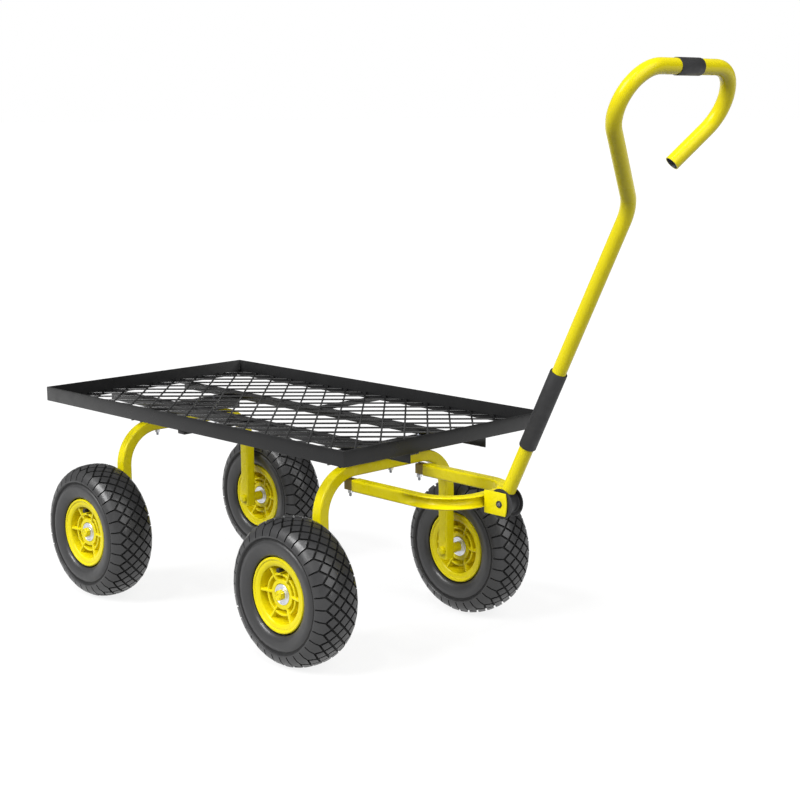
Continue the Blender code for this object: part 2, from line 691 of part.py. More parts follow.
def build_spindle(axle_word, axle_x, side_word, side):
    """One wheel's spindle bolt through the leg, with its spacer and nut; local +Y points outboard."""
    tail = "_%s_%s" % (axle_word, side_word)
    turn = Matrix.Rotation(0 if side == LEFT else math.pi, 4, "Z")
    place = Matrix.Translation((axle_x, 0, AXLE_Z)) @ turn
    head_end = LEG_Y - TUBE / 2 - GAP
    hub_out = WHEEL_Y + HUB_HALF_WIDTH
    nut_low = hub_out + GAP
    nut_high = nut_low + SPINDLE_NUT_HEIGHT
    profile = [(SPINDLE_HEAD_RADIUS, head_end - SPINDLE_HEAD_HEIGHT), (SPINDLE_HEAD_RADIUS, head_end),
               (SPINDLE_RADIUS, head_end), (SPINDLE_RADIUS, nut_high - GAP)]
    add_object("spindle" + tail, turned_mesh("spindle" + tail, profile, 12), "yellow_paint", place)
    low = LEG_Y + TUBE / 2 + GAP
    high = WHEEL_Y - HUB_HALF_WIDTH - GAP
    bore = SPINDLE_RADIUS + GAP
    profile = [(bore, low), (SPACER_RADIUS, low), (SPACER_RADIUS, high), (bore, high)]
    add_object("spacer" + tail, turned_mesh("spacer" + tail, profile, 12, ring=True), "yellow_paint", place)
    mesh = nut_mesh("spindle_nut" + tail, SPINDLE_RADIUS, SPINDLE_NUT_RADIUS, nut_low, nut_high)
    add_object("spindle_nut" + tail, mesh, "yellow_paint", place)


def main():
    """Build the whole trolley."""
    clear_scene()
    build_tray()
    build_deck_mesh()
    build_rails()
    build_cross_members()
    build_axle_tubes()
    build_deck_bolts()
    build_bow()
    outer_y = build_bracket()
    build_pivot_bolt(outer_y)
    carrier = pivot_empty()
    build_knuckle(carrier)
    build_handle(carrier)
    shapes = build_wheel_meshes()
    for axle_word, axle_x in AXLES:
        for side_word, side in SIDES:
            build_wheel(shapes, axle_word, axle_x, side_word, side)
            build_spindle(axle_word, axle_x, side_word, side)


main()
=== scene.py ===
"""Looks of the plant trolley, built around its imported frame.

Frame: metres, +Z up, +X towards the pull handle, +Y to the trolley's left, ground at Z 0.
"""
import json
import math

import bmesh
import bpy
import numpy as np
from mathutils import Matrix, Vector


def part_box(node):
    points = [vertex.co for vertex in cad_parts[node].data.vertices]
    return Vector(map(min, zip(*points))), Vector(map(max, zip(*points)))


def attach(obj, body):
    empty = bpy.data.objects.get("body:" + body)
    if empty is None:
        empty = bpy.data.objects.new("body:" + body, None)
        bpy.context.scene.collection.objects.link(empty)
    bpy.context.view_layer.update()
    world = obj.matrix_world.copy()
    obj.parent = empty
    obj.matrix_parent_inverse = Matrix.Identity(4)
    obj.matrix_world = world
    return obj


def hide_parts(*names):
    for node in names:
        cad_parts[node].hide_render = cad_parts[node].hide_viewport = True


# Camera and light
CAMERA_PLACE = (1.8965, -1.7857, 0.8666)
CAMERA_YAW = 45.718
CAMERA_PITCH = 10.228
CAMERA_ROLL = -0.240
CAMERA_LENS = 72.41
FLOOR_SIZE = 200.0
FLOOR_GLOW = 0.84
# Name, where it shines from, power and width in degrees
LAMPS = (("key", (-0.25, -0.85, 0.70), 2.85, 26.0), ("fill", (0.42, -0.02, 0.30), 2.15, 60.0),
         ("glint", (0.08, -0.45, 0.87), 0.45, 6.0))
BRIGHT_SIDE = (-0.55, -0.55, 0.63)
WORLD_DIM = 0.10
WORLD_BRIGHT = 0.40

# Square tube
TUBE = 0.020
TUBE_WALL = 0.0018
TUBE_CORNER = 0.0030
LEG_BEND_RADIUS = 0.068
BOW_BEND_RADIUS = 0.065
TONGUE = 0.0172                 # narrower end of each bow arm, under the front axle tube
TONGUE_START = 0.0080           # the narrow end starts here, from the rear of the bow's box
TONGUE_END = 0.0270             # where the full tube starts
PRESS_LEAD = 0.042              # the pressing starts this far before the bend
PRESS_RAMP = 0.048              # and reaches its depth over this length
BOW_PRESS = 0.0085              # how deep the bow's outer wall is pressed in around its bends
PRESS_WALL = 0.006              # the pressed wall lies further than this from the tube's centre line
BOW_STEP = 0.004                # length of a slice of the bow's straight stretches

# Deck
WIRE = 0.0033
WIRE_SIDES = 10
WIRE_CELLS = 15
WIRE_PHASE = (0.65, 0.10)
WIRE_LIFT = 0.00045             # half the step between the two wire families

# Deck screws
SCREW_RADIUS = 0.0022
SCREW_POINT = 0.0008            # length of a screw's chamfered tip
SCREW_HEAD = 0.0045
SCREW_HEAD_HEIGHT = 0.004
SCREW_MORE = 0.0020             # how far the deck screws reach below their CAD nodes
SCREW_TIP = 0.0050              # how far the middle screw passes its nut
NUT_HALF = 0.0040               # from a screw's middle to a flat of its nut
CENTRE_SCREW_Y = 0.012          # the middle screw through the front axle tube
CENTRE_NUT = 0.005

# Pull handle
HANDLE_LEAN = math.atan(0.5)
SHAFT_SETBACK = 0.0045
HANDLE_RADIUS = 0.011
HANDLE_WALL = 0.0015
SHAFT_START = 0.0203
SHAFT_BEND = 0.5115
SHAFT_BEND_RADIUS = 0.065
LOOP_ANGLE = math.radians(41.6)
LOOP_TOP = 0.720
LOOP_RADIUS = 0.0555
LOOP_TIP = 0.5755
LOOP_SHIFT = -0.0025            # the loop sits a little to the right of the shaft
SLEEVE_THICK = 0.0023
GRIP_THICK = 0.0009
SLEEVE_GAP = 0.0001
BUMPER_START = 0.102
BUMPER_END = 0.236
GRIP_Y = -0.005
GRIP_LENGTH = 0.051
DISC_RADIUS = 0.0235
DISC_THICK = 0.002
CORE_RADIUS = 0.0165
SPIGOT_REACH = 0.030            # how far the knuckle's spigot goes into the tube
SPIGOT_GAP = 0.0004
PIVOT_RADIUS = 0.0040
PIVOT_HEAD = 0.004
PIVOT_NUT_HALF = 0.0062

# Tyre
TREAD_PITCHES = 34              # diamonds around the tyre
TREAD_ROWS = 3                  # half diamonds from the crown to the shoulder
TREAD_HALF = 0.0112             # half a diamond's size across the tread
TREAD_DEPTH = 0.0038
TREAD_SHRINK = 0.81             # a block's foot, as a share of its diamond
TREAD_TAPER = 0.035             # how much smaller the block's top is
SLIT_HALF = 0.09                # half a shoulder slit, as a share of half a pitch
SLIT_COLUMNS = (-1, -1 + SLIT_HALF, 1 - SLIT_HALF, 1)  # a shoulder block's slits, from its middle
SHOULDER = 0.0520               # arc length from the crown to the slits' inner ends
# Arc length from the crown and depth, from the slits down into the side groove and out of it
SIDE_GROOVE = ((0.0530, 0.0), (0.0540, 0.0), (0.0552, 0.0008), (0.0562, 0.0027), (0.0582, 0.0034),
               (0.0602, 0.0030), (0.0616, 0.0020), (0.0634, 0.0010), (0.0650, 0.0005))
# The darker rubber at the bottom of the side groove is painted shade.
GROOVE_SHADE_DEPTH = 0.0020            # side groove deeper than this is dark at the bottom
WALL_ROWS = 10                  # rows of faces between the side groove and the bead
TYRE_RADIUS = 0.1202
TYRE_HALF_WIDTH = 0.0423
TYRE_WAIST = 0.0900             # radius where the tyre is widest
TYRE_POWER = 2.35
BEAD_RADIUS = 0.0638            # the tyre's edge, a little outside the rim's flange
BEAD_OUT = 0.0340
BEAD_DEPTH = 0.007              # how far the tyre's edge goes in beside the flange
BEAD_TAPER = 0.0004

# Wheel centre
RIM_SEGMENTS = 96
RIB_COUNT = 6
RIB_THICK = 0.0048
BEARING_HALF_WIDTH = 0.005
SPINDLE_RADIUS = 0.006
SPINDLE_HEAD = 0.006            # thickness of the head inside the leg
SPINDLE_HEAD_HALF = 0.0070
WHEEL_NUT_HALF = 0.0076
SPACER_RADIUS = 0.0087
RUNNING_GAP = 0.0003            # between the spindle and what turns or sits on it
VALVE_ROOT = 0.0480             # the valve's foot in the barrel, from the axle
VALVE_LEVEL = 0.0405            # the valve cap's distance from the axle
VALVE_RADIUS = 0.0036
VALVE_PLACE = 0.0225            # the stem's offset from the wheel's middle
VALVE_BACK = 0.0050             # length of the stem's outward leg

ROUND = 48
WHITE = (1.0, 1.0, 1.0, 1.0)
YELLOW = (0.80, 0.686, 0.003)
YELLOW_SHADE = (0.785, 0.670, 0.003)
YELLOW_GLOSS = 0.22
SIDES = (("left", 1), ("right", -1))
AXLES = ("front", "rear")

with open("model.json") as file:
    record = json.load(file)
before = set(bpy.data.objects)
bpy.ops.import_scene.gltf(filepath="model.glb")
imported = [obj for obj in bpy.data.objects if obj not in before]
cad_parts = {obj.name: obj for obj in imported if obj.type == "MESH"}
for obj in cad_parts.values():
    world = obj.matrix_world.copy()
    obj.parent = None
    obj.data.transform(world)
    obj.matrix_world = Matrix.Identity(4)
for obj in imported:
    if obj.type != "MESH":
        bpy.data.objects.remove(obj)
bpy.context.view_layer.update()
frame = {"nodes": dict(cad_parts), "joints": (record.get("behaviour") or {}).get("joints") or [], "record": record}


# -------------------------------- materials


def new_material(name, colour, roughness, metallic=0.0):
    """A node material whose steady values sit on the shader's own sockets."""
    made = bpy.data.materials.new(name)
    made.use_nodes = True
    shader = made.node_tree.nodes["Principled BSDF"]
    shader.inputs["Base Color"].default_value = (*colour, 1.0)
    shader.inputs["Roughness"].default_value = roughness
    shader.inputs["Metallic"].default_value = metallic
    made.diffuse_color = (*colour, 1.0)
    return made, made.node_tree, shader


def noise_node(tree, scale, detail=3.0):
    """A noise texture in the piece's own space."""
    place = tree.nodes.new("ShaderNodeTexCoord")
    noise = tree.nodes.new("ShaderNodeTexNoise")
    noise.inputs["Scale"].default_value = scale
    noise.inputs["Detail"].default_value = detail
    tree.links.new(place.outputs["Object"], noise.inputs["Vector"])
    return noise.outputs["Fac"]


def ramp_node(tree, source, low, high, first, last):
    """Blend between two colours over a span of the source's values."""
    ramp = tree.nodes.new("ShaderNodeValToRGB")
    ramp.color_ramp.elements[0].position = low
    ramp.color_ramp.elements[0].color = (*first, 1.0)
    ramp.color_ramp.elements[1].position = high
    ramp.color_ramp.elements[1].color = (*last, 1.0)
    tree.links.new(source, ramp.inputs["Fac"])
    return ramp.outputs["Color"]


def cloud_colour(tree, shader, scale, shade, colour, high=0.65, detail=3.0):
    """Let the base colour drift between a shade and the full colour."""
    cloud = noise_node(tree, scale, detail)
    tree.links.new(ramp_node(tree, cloud, 0.35, high, shade, colour), shader.inputs["Base Color"])


def spread_node(tree, source, span):
    """Map a source's values; span holds the values from low to high before and after."""
    node = tree.nodes.new("ShaderNodeMapRange")
    for socket, value in zip(("From Min", "From Max", "To Min", "To Max"), span):
        node.inputs[socket].default_value = value
    tree.links.new(source, node.inputs["Value"])
    return node.outputs["Result"]


def vary_roughness(tree, shader, source, low, high):
    """Let the roughness wander between two values."""
    tree.links.new(spread_node(tree, source, (0.3, 0.7, low, high)), shader.inputs["Roughness"])


def add_bump(tree, shader, source, strength, distance):
    """Fine relief from a height source."""
    bump = tree.nodes.new("ShaderNodeBump")
    bump.inputs["Strength"].default_value = strength
    bump.inputs["Distance"].default_value = distance
    tree.links.new(source, bump.inputs["Height"])
    tree.links.new(bump.outputs["Normal"], shader.inputs["Normal"])


def coated_steel(name, colour, shade, roughness, relief, gloss):
    """Powder coat: a nearly even colour, a fine orange-peel skin and a soft gloss."""
    made, tree, shader = new_material(name, colour, roughness)
    cloud_colour(tree, shader, 18.0, shade, colour)
    vary_roughness(tree, shader, noise_node(tree, 60.0), roughness - 0.04, roughness + 0.06)
    add_bump(tree, shader, noise_node(tree, 900.0, 2.0), relief, 0.0002)
    shader.inputs["Specular IOR Level"].default_value = gloss
    return made


def make_tyre_rubber():
    """Dark grey rubber with a faint bloom and a soft sheen."""
    made, tree, shader = new_material("tyre_rubber", (0.030, 0.030, 0.031), 0.46)
    cloud_colour(tree, shader, 25.0, (0.020, 0.020, 0.021), (0.027, 0.027, 0.028), high=0.70, detail=4.0)
    vary_roughness(tree, shader, noise_node(tree, 70.0), 0.36, 0.48)
    add_bump(tree, shader, noise_node(tree, 1400.0, 3.0), 0.10, 0.0003)
    shader.inputs["Coat Weight"].default_value = 0.18
    shader.inputs["Coat Roughness"].default_value = 0.12
    return made


def plain_rubber(name, level, roughness, low, high):
    """Nearly black rubber whose grey level drifts between low and high."""
    made, tree, shader = new_material(name, (level,) * 3, roughness)
    cloud_colour(tree, shader, 60.0, (low,) * 3, (high,) * 3)
    return made


def bare_metal(name, colour, roughness, scale, shade, bright, smooth, rough):
    """Plated or oiled metal, slightly cloudy, its roughness between smooth and rough."""
    made, tree, shader = new_material(name, colour, roughness, 1.0)
    cloud_colour(tree, shader, scale, shade, bright, detail=2.0)
    vary_roughness(tree, shader, noise_node(tree, 150.0), smooth, rough)
    return made


def make_sleeve():
    """Soft black sleeve with a fine pebbled skin."""
    made, tree, shader = new_material("black_sleeve", (0.013, 0.013, 0.014), 0.62)
    cloud_colour(tree, shader, 40.0, (0.010, 0.010, 0.011), (0.016, 0.016, 0.017))
    vary_roughness(tree, shader, noise_node(tree, 90.0), 0.55, 0.70)
    add_bump(tree, shader, noise_node(tree, 1100.0, 3.0), 0.30, 0.0003)
    return made


def make_moulded_black():
    """Moulded black plastic of the knuckle, smoother than the sleeves."""
    made, tree, shader = new_material("moulded_black", (0.016, 0.016, 0.018), 0.38)
    cloud_colour(tree, shader, 30.0, (0.012, 0.012, 0.013), (0.022, 0.022, 0.025))
    vary_roughness(tree, shader, noise_node(tree, 80.0), 0.32, 0.46)
    add_bump(tree, shader, noise_node(tree, 1000.0, 2.0), 0.10, 0.0002)
    return made


def make_rim_plastic():
    """Glossy yellow moulding with a barely uneven surface."""
    made, tree, shader = new_material("rim_plastic", YELLOW, 0.26)
    cloud_colour(tree, shader, 22.0, YELLOW_SHADE, (0.81, 0.695, 0.004))
    vary_roughness(tree, shader, noise_node(tree, 50.0), 0.22, 0.34)
    add_bump(tree, shader, noise_node(tree, 350.0, 2.0), 0.06, 0.0002)
    shader.inputs["Specular IOR Level"].default_value = YELLOW_GLOSS
    return made


def make_floor_material():
    """Plain pale floor that glows a little, so that shadows on it stay faint."""
    made, _, shader = new_material("pale_floor", (0.16, 0.16, 0.16), 0.9)
    shader.inputs["Emission Color"].default_value = WHITE
    shader.inputs["Emission Strength"].default_value = FLOOR_GLOW
    return made


# Name, colour, its darker shade, roughness, relief and gloss
YELLOW_PAINT = coated_steel("yellow_powder_coat", YELLOW, YELLOW_SHADE, 0.26, 0.03, YELLOW_GLOSS)
# A darker brown coat: painted shade where the bow's arm ends run under the front axle tube.
PAINTED_SHADE_BROWN = coated_steel("painted_shade_coat", (0.34, 0.25, 0.045), (0.27, 0.19, 0.040), 0.45, 0.10, 0.30)
WIRE_PAINT = coated_steel("black_dipped_coat", (0.010, 0.010, 0.0105), (0.008, 0.008, 0.0085),
                          0.24, 0.05, 0.60)
BLACK_PAINT = coated_steel("black_powder_coat", (0.009, 0.009, 0.0095), (0.007, 0.007, 0.0075),
                           0.30, 0.12, 0.32)
TYRE_RUBBER = make_tyre_rubber()
# Darker rubber: painted shade on the groove floors and beside the rim's flanges.
GROOVE_SHADE_RUBBER = plain_rubber("groove_painted_shade_rubber", 0.006, 0.80, 0.004, 0.008)
VALVE_RUBBER = plain_rubber("valve_rubber", 0.005, 0.55, 0.004, 0.007)
ZINC = bare_metal("zinc_plate", (0.62, 0.64, 0.70), 0.32, 60.0, (0.66, 0.68, 0.74), (0.74, 0.76, 0.82),
                  0.28, 0.38)
DARK_STEEL = bare_metal("dark_steel", (0.24, 0.25, 0.28), 0.38, 80.0, (0.21, 0.22, 0.25),
                        (0.27, 0.28, 0.31), 0.34, 0.48)
SLEEVE = make_sleeve()
MOULDED_BLACK = make_moulded_black()
RIM_PLASTIC = make_rim_plastic()

LOOKS = {
    "yellow_paint": YELLOW_PAINT,
    "yellow_plastic": RIM_PLASTIC,
    "black_paint": BLACK_PAINT,
    "tyre_rubber": TYRE_RUBBER,
    "zinc": ZINC,
    "black_plastic": MOULDED_BLACK,
}


# -------------------------------- mesh helpers


def to_mesh(name, grid, sharp_angle=35):
    """Turn a bmesh into a smooth-shaded mesh with faces outwards."""
    bmesh.ops.recalc_face_normals(grid, faces=grid.faces)
    mesh = bpy.data.meshes.new(name)
    grid.to_mesh(mesh)
    grid.free()
    mesh.shade_smooth()
    mesh.set_sharp_from_angle(angle=math.radians(sharp_angle))
    return mesh


def add_piece(name, mesh, look, body, nodes=(), place=None):
    """Link a piece, let it ride on its body and stand for its CAD nodes."""
    if not mesh.materials:
        mesh.materials.append(look)
    piece = bpy.data.objects.new(name, mesh)
    if place is not None:
        piece.matrix_world = place
    bpy.context.scene.collection.objects.link(piece)
    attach(piece, body)
    if nodes:
        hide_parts(*nodes)


def add_yellow(name, mesh, nodes, place=None):
    """Add a yellow piece of the trolley."""
    add_piece(name, mesh, YELLOW_PAINT, "trolley", nodes, place)


def add_fastener(name, mesh, look, nodes, place):
    """Add one of the trolley's plated screws, bolts or nuts."""
    add_piece(name, mesh, look, "trolley", nodes, place)


def bridge(grid, rings, closed):
    """Join successive rings of points with quads."""
    made = [[grid.verts.new(point) for point in ring] for ring in rings]
    count = len(made[0])
    last = len(made) if closed else len(made) - 1
    for index in range(last):
        here = made[index]
        there = made[(index + 1) % len(made)]
        for step in range(count):
            after = (step + 1) % count
            grid.faces.new((here[step], here[after], there[after], there[step]))
    return made


def bridge_capped(grid, rings):
    """Join successive rings and close both ends."""
    made = bridge(grid, rings, closed=False)
    grid.faces.new(made[0])
    grid.faces.new(made[-1])


def circle_angles(count):
    """Evenly spaced angles around a full circle."""
    return [2 * math.pi * step / count for step in range(count)]


def on_circle(radius, along, angle):
    """A point around the local Y axis; angle 0 points down."""
    return radius * math.sin(angle), along, -radius * math.cos(angle)


def with_mirror(half):
    """A profile of (radius, along) points followed by its mirror image across the middle."""
    return half + [(radius, -along) for radius, along in reversed(half)]


def turn_into(grid, profile, segments, ring=False):
    """Add a shape revolved about local Y to a bmesh; profile holds (radius, along) points."""
    angles = circle_angles(segments)
    rings = [[on_circle(radius, along, angle) for angle in angles] for radius, along in profile]
    if ring:
        bridge(grid, rings, closed=True)
    else:
        bridge_capped(grid, rings)


def turned_mesh(name, profile, segments=ROUND, ring=False, sharp_angle=35):
    """A revolved mesh about local Y."""
    grid = bmesh.new()
    turn_into(grid, profile, segments, ring)
    return to_mesh(name, grid, sharp_angle)


def hex_radius(angle, across):
    """Distance from a hexagon's centre to its side in a direction."""
    sector = math.pi / 3
    offset = (angle % sector) - sector / 2
    return across / math.cos(offset)


def hex_mesh(name, half_flat, low, high, bore=0.0, dome=0.0):
    """A chamfered hexagon about local Y: a nut when it has a bore, else a bolt head that may be domed."""
    angles = circle_angles(ROUND)
    chamfer = half_flat * 0.94
    tilt = math.tan(math.radians(30))
    outline = [hex_radius(angle, half_flat) for angle in angles]

    def circle(radius, along):
        return [on_circle(radius, along, angle) for angle in angles]

    foot = [on_circle(radius, low, angle) for radius, angle in zip(outline, angles)]
    shoulder = [on_circle(radius, high - max(radius - chamfer, 0) * tilt, angle)
                for radius, angle in zip(outline, angles)]
    rings = [foot, shoulder, circle(chamfer, high)]
    grid = bmesh.new()
    if bore:
        rings += [circle(bore * 1.12, high), circle(bore, high - bore * 0.15), circle(bore, low)]
        bridge(grid, rings, closed=True)
    else:
        rings += [circle(chamfer * share, high + dome * (1 - share * share)) for share in (0.75, 0.45, 0.15)]
        bridge_capped(grid, rings)
    return to_mesh(name, grid, 25)


def rounded_path(corners, radii, steps):
    """Points along a planar polyline whose inner corners are rounded with arcs."""
    points = [Vector(corners[0])]
    for index in range(1, len(corners) - 1):
        corner = Vector(corners[index])
        back = (Vector(corners[index - 1]) - corner).normalized()
        ahead = (Vector(corners[index + 1]) - corner).normalized()
        turn = math.pi - back.angle(ahead)
        radius = radii[index - 1]
        centre = corner + (back + ahead).normalized() * radius / math.cos(turn / 2)
        first = corner + back * radius * math.tan(turn / 2) - centre
        axis = back.cross(ahead).normalized()
        for step in range(steps + 1):
            points.append(centre + Matrix.Rotation(-turn * step / steps, 3, axis) @ first)
    points.append(Vector(corners[-1]))
    return points


def sweep_into(grid, path, normal, outer, inner, shape=None, lining=0):
    """Sweep a hollow section along a planar path.

    Shape may move each slice's points, and lining is the material number of the inside.
    """
    normal = Vector(normal).normalized()
    outer_rings = []
    inner_rings = []
    for index, point in enumerate(path):
        before = path[max(index - 1, 0)]
        after = path[min(index + 1, len(path) - 1)]
        incoming = (point - before).normalized() if index > 0 else (after - point).normalized()
        outgoing = (after - point).normalized() if index < len(path) - 1 else incoming
        along = (incoming + outgoing).normalized()
        across = normal.cross(along).normalized()
        stretch = 1 / max(along.dot(outgoing), 0.5)
        for section, rings in ((outer, outer_rings), (inner, inner_rings)):
            points = section if shape is None else shape(section, index)
            rings.append([point + across * a * stretch + normal * b for a, b in points])
    made = bridge(grid, outer_rings + inner_rings[::-1], closed=True)
    inside = {vertex for ring in made[len(path):] for vertex in ring}
    for face in grid.faces:
        if inside.issuperset(face.verts):
            face.material_index = lining


def round_section(radius, sides):
    """Points of a round section."""
    return [(radius * math.cos(angle), radius * math.sin(angle)) for angle in circle_angles(sides)]


def square_section(half, corner, flats=4, turns=4):
    """Points of a square section with rounded corners and several points along each flat."""
    points = []
    reach = half - corner
    for quarter in range(4):
        start = quarter * math.pi / 2
        side = Matrix.Rotation(start, 2)
        for step in range(turns + 1):
            angle = math.pi / 2 * step / turns
            bend = Vector((math.cos(angle), math.sin(angle)))
            points.append(side @ (Vector((reach, reach)) + bend * corner))
        for step in range(1, flats):
            share = 1 - 2 * step / flats
            points.append(side @ Vector((reach * share, half)))
    return [(point.x, point.y) for point in points]


def bevelled_copy(node, name, width, look=BLACK_PAINT, segments=2):
    """A piece of the trolley that takes a CAD node's shape and softens its sharp edges."""
    grid = bmesh.new()
    grid.from_mesh(frame["nodes"][node].data)
    bmesh.ops.remove_doubles(grid, verts=grid.verts, dist=1e-5)
    bmesh.ops.dissolve_limit(grid, angle_limit=math.radians(1), verts=grid.verts, edges=grid.edges)
    edges = [edge for edge in grid.edges
             if len(edge.link_faces) == 2 and edge.calc_face_angle() > math.radians(30)]
    bmesh.ops.bevel(grid, geom=edges, offset=width, offset_type="OFFSET", segments=segments,
                    profile=0.5, affect="EDGES", clamp_overlap=True)
    add_piece(name, to_mesh(name, grid, 30), look, "trolley", (node,))


def middle(node):
    """Centre of a CAD node's box."""
    low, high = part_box(node)
    return (low + high) / 2


# -------------------------------- tyre


def tyre_section():
    """Tables of arc length, radius, offset and outward normal from the crown to the bead."""
    turn = np.linspace(0, math.pi / 2, 500)
    share = 2 / TYRE_POWER
    radius = TYRE_WAIST + (TYRE_RADIUS - TYRE_WAIST) * np.cos(turn) ** share
    offset = TYRE_HALF_WIDTH * np.sin(turn) ** share
    low_radius = TYRE_WAIST - (TYRE_WAIST - BEAD_RADIUS) * np.sin(turn[1:])
    low_offset = BEAD_OUT + (TYRE_HALF_WIDTH - BEAD_OUT) * np.cos(turn[1:])
    radius = np.concatenate((radius, low_radius))
    offset = np.concatenate((offset, low_offset))
    length = np.concatenate(([0], np.cumsum(np.hypot(np.diff(radius), np.diff(offset)))))
    slope_r = np.gradient(radius, length)
    slope_w = np.gradient(offset, length)
    size = np.hypot(slope_r, slope_w)
    return length, radius, offset, slope_w / size, -slope_r / size


class TyreGrid:
    """A tyre's mesh, whose vertices are named by half pitch, arc length from the crown and depth."""

    def __init__(self):
        self.mesh = bmesh.new()
        self.table = tyre_section()
        self.around = 2 * TREAD_PITCHES
        self.known = {}

    def vertex(self, place, depth=0.0):
        """The vertex at (half pitch, arc length), made when it is first asked for."""
        around, across = place
        key = (round(around % self.around, 4), round(across, 6), round(depth, 6))
        if key not in self.known:
            length, radius, offset, normal_r, normal_w = self.table
            reach = abs(across)
            side = 1 if across >= 0 else -1
            r = np.interp(reach, length, radius) - depth * np.interp(reach, length, normal_r)
            w = np.interp(reach, length, offset) - depth * np.interp(reach, length, normal_w)
            angle = 2 * math.pi * around / self.around
            self.known[key] = self.mesh.verts.new(on_circle(r, side * w, angle))
        return self.known[key]

    def face(self, corners, groove=False):
        """Add a face; groove faces are the darker material 1, painted shade in the grooves."""
        made = self.mesh.faces.new(corners)
        made.material_index = 1 if groove else 0

    def groove_and_wall(self, nodes, feet, tops, step):
        """One side of a block: its share of the groove's floor and the wall up to its top."""
        after = (step + 1) % len(nodes)
        floor = (self.vertex(nodes[step], TREAD_DEPTH), self.vertex(nodes[after], TREAD_DEPTH),
                 self.vertex(feet[after], TREAD_DEPTH), self.vertex(feet[step], TREAD_DEPTH))
        # The groove's floor is the darker rubber, painted shade.
        self.face(floor, groove=True)
        self.face((floor[3], floor[2], self.vertex(tops[after]), self.vertex(tops[step])))

    def columns(self):
        """The half pitches at which a shoulder block stands."""
        return [around for around in range(self.around) if (around + TREAD_ROWS) % 2 == 1]


def add_diamond(tyre, around, row):
    """One diamond block of the tread with the grooves around it."""
    corners = ((1, 0), (0, 1), (-1, 0), (0, -1))

    def outline(size):
        return [(around + a * size, (row + b * size) * TREAD_HALF) for a, b in corners]

    centre = (around, row * TREAD_HALF)
    nodes = outline(1)
    feet = outline(TREAD_SHRINK)
    tops = outline(TREAD_SHRINK - TREAD_TAPER)
    halfway = [((centre[0] + a) / 2, (centre[1] + b) / 2) for a, b in tops]
    for step in range(len(nodes)):
        after = (step + 1) % len(nodes)
        tyre.groove_and_wall(nodes, feet, tops, step)
        tyre.face([tyre.vertex(place) for place in (tops[step], tops[after], halfway[after], halfway[step])])
        tyre.face([tyre.vertex(place) for place in (halfway[step], halfway[after], centre)])


def add_shoulder(tyre, around, side):
    """One shoulder block between two slits, and the step from it down to the side wall."""
    edge = TREAD_ROWS * TREAD_HALF
    mid = (edge + SHOULDER) / 2

    def outline(shrink, slit):
        bend = edge + TREAD_HALF * (1 - slit - shrink)
        left = around - 1 + slit
        right = around + 1 - slit
        return [(around, side * (edge - shrink * TREAD_HALF)), (left, side * bend), (left, side * mid),
                (left, side * SHOULDER), (right, side * SHOULDER), (right, side * mid), (right, side * bend)]

    nodes = outline(1, 0)
    feet = outline(TREAD_SHRINK, SLIT_HALF)
    tops = outline(TREAD_SHRINK - TREAD_TAPER, SLIT_HALF + TREAD_TAPER)
    # Side 3 of the outline has no groove: it steps down to the side wall.
    for step in (0, 1, 2, 4, 5, 6):
        tyre.groove_and_wall(nodes, feet, tops, step)
    top = [tyre.vertex(place) for place in tops]
    tyre.face((top[0], top[1], top[6]))
    tyre.face((top[1], top[2], top[5], top[6]))
    tyre.face((top[2], top[3], top[4], top[5]))

    low = [tyre.vertex((around + shift, side * SIDE_GROOVE[0][0])) for shift in SLIT_COLUMNS]
    left_node, right_node = [tyre.vertex(nodes[step], TREAD_DEPTH) for step in (3, 4)]
    left_foot, right_foot = [tyre.vertex(feet[step], TREAD_DEPTH) for step in (3, 4)]
    tyre.face((left_node, left_foot, low[1], low[0]))
    tyre.face((right_foot, right_node, low[3], low[2]))
    tyre.face((left_foot, top[3], low[1]))
    tyre.face((top[4], right_foot, low[2]))
    tyre.face((top[3], top[4], low[2], low[1]))


def add_side_wall(tyre, around, side, rows):
    """The side wall below one shoulder block; rows holds arc lengths and depths."""
    columns = [around + shift for shift in SLIT_COLUMNS]
    for (upper, upper_depth), (lower, lower_depth) in zip(rows, rows[1:]):
        for first, second in zip(columns, columns[1:]):
            # Faces deep in the side groove take the darker rubber as painted shade.
            tyre.face((tyre.vertex((first, side * upper), upper_depth),
                       tyre.vertex((second, side * upper), upper_depth),
                       tyre.vertex((second, side * lower), lower_depth),
                       tyre.vertex((first, side * lower), lower_depth)),
                      groove=min(upper_depth, lower_depth) > GROOVE_SHADE_DEPTH)


def add_tyre_bore(tyre, last):
    """The wall beside each flange, dark as painted shade in the gap, and the hidden bore between the two side
    walls.
    """
    places = sorted(around + shift for around in tyre.columns() for shift in SLIT_COLUMNS[:3])
    inner = {}
    for place in places:
        for side in (1, -1):
            point = on_circle(BEAD_RADIUS - BEAD_TAPER, side * (BEAD_OUT - BEAD_DEPTH),
                              2 * math.pi * place / tyre.around)
            inner[(place, side)] = tyre.mesh.verts.new(point)
    for place, after in zip(places, places[1:] + places[:1]):
        for side in (1, -1):
            tyre.face((tyre.vertex((place, side * last)), tyre.vertex((after, side * last)),
                       inner[(after, side)], inner[(place, side)]), groove=True)
        tyre.face((inner[(place, 1)], inner[(after, 1)], inner[(after, -1)], inner[(place, -1)]))


